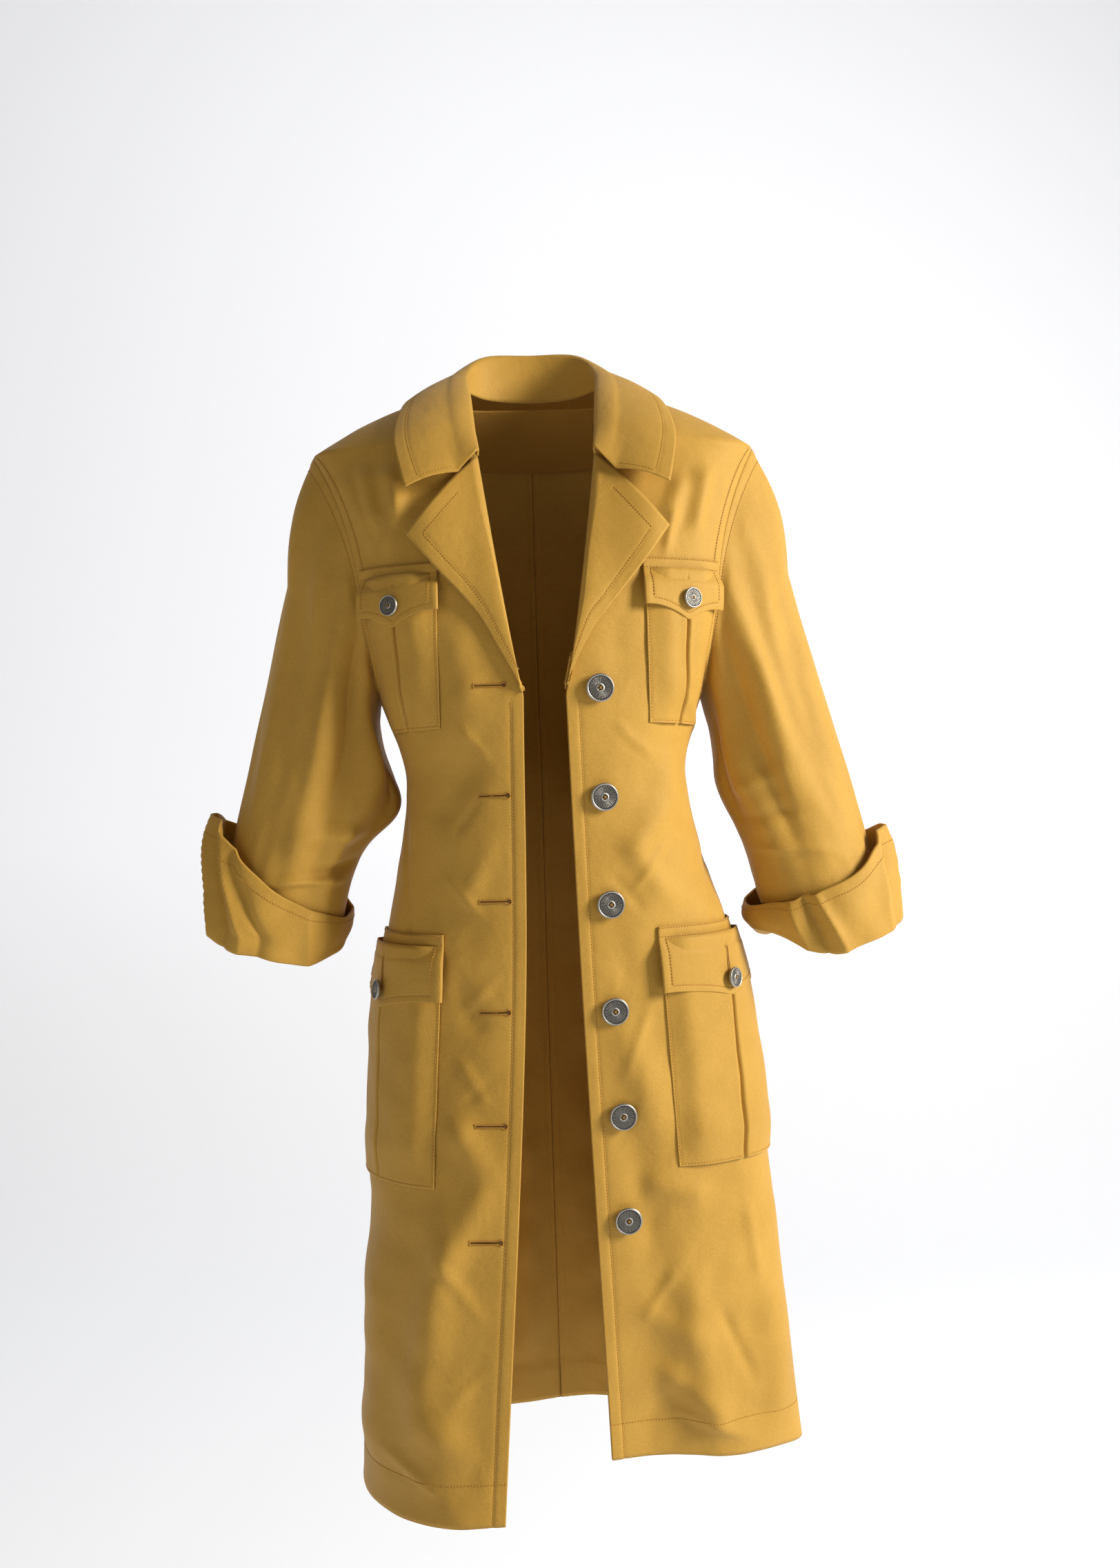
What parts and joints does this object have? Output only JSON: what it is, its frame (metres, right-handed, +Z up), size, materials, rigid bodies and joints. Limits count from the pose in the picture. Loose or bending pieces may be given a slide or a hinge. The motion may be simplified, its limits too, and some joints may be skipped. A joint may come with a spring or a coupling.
{
  "type": "long safari coat",
  "caption": "Knee-length cotton twill safari coat with notched lapels, chest and hip flap pockets, metal buttons and rolled sleeves, shown open.",
  "frame": {"origin": "On the shoulder line, midway between the two sides of the neck, where shoulders or a hanger carry the coat.", "axes": "+Z up along the coat's length, the wearer faces -Y, and the wearer's left side, with the buttons, is at +X."},
  "size_m": [0.7024, 0.2985, 1.135],
  "materials": {
    "twill": "matte mustard cotton twill",
    "twill_inside": "inner face of the mustard cotton twill",
    "pad_wadding": "cream cotton wadding with a woven cover",
    "button_metal": "cast zinc plated in antiqued silver, polished rim and dark fluted face",
    "thread": "mustard polyester sewing thread"
  },
  "bodies": {
    "root": {"front_right": "twill", "back_right": "twill", "front_facing_right": "twill_inside", "lapel_right": "twill", "sleeve_cap_right": "twill", "shoulder_pad_right": "pad_wadding", "front_left": "twill", "back_left": "twill", "front_facing_left": "twill_inside", "lapel_left": "twill", "sleeve_cap_left": "twill", "shoulder_pad_left": "pad_wadding", "back_neck_facing": "twill_inside", "collar_fall": "twill", "collar_stand": "twill_inside", "button_1": "button_metal", "button_1_thread": "thread", "button_2": "button_metal", "button_2_thread": "thread", "button_3": "button_metal", "button_3_thread": "thread", "button_4": "button_metal", "button_4_thread": "thread", "button_5": "button_metal", "button_5_thread": "thread", "button_6": "button_metal", "button_6_thread": "thread", "chest_pocket_right": "twill", "chest_flap_band_right": "twill", "chest_pocket_button_right": "button_metal", "chest_pocket_button_right_thread": "thread", "hip_pocket_right": "twill", "hip_flap_band_right": "twill", "hip_pocket_button_right": "button_metal", "hip_pocket_button_right_thread": "thread", "chest_pocket_left": "twill", "chest_flap_band_left": "twill", "chest_pocket_button_left": "button_metal", "chest_pocket_button_left_thread": "thread", "hip_pocket_left": "twill", "hip_flap_band_left": "twill", "hip_pocket_button_left": "button_metal", "hip_pocket_button_left_thread": "thread"},
    "chest_flap_body_right": {"chest_flap_right": "twill"},
    "hip_flap_body_right": {"hip_flap_right": "twill"},
    "sleeve_body_right": {"sleeve_right": "twill", "rolled_cuff_right": "twill"},
    "chest_flap_body_left": {"chest_flap_left": "twill"},
    "hip_flap_body_left": {"hip_flap_left": "twill"},
    "sleeve_body_left": {"sleeve_left": "twill", "rolled_cuff_left": "twill"}
  },
  "joints": [
    {"name": "chest_flap_hinge_left", "type": "hinge", "parent": "root", "child": "chest_flap_body_left", "pos_m": [0.141, -0.1035, -0.185], "axis": [-0.8898, -0.4564, 0], "range_deg": [0, 115], "deforming": ["chest_flap_left"]},
    {"name": "chest_flap_hinge_right", "type": "hinge", "parent": "root", "child": "chest_flap_body_right", "pos_m": [-0.141, -0.1035, -0.185], "axis": [-0.8898, 0.4564, 0], "range_deg": [0, 115], "deforming": ["chest_flap_right"]},
    {"name": "hip_flap_hinge_left", "type": "hinge", "parent": "root", "child": "hip_flap_body_left", "pos_m": [0.1605, -0.06, -0.539], "axis": [-0.6842, -0.7293, 0], "range_deg": [0, 70], "deforming": ["hip_flap_left"]},
    {"name": "hip_flap_hinge_right", "type": "hinge", "parent": "root", "child": "hip_flap_body_right", "pos_m": [-0.154, -0.064, -0.539], "axis": [-0.5201, 0.8541, 0], "range_deg": [0, 70], "deforming": ["hip_flap_right"]},
    {"name": "sleeve_swing_left", "type": "hinge", "parent": "root", "child": "sleeve_body_left", "pos_m": [0.195, 0, -0.1725], "axis": [0, -1, 0], "range_deg": [0, 35]},
    {"name": "sleeve_swing_right", "type": "hinge", "parent": "root", "child": "sleeve_body_right", "pos_m": [-0.195, 0, -0.1725], "axis": [0, 1, 0], "range_deg": [0, 35]}
  ]
}
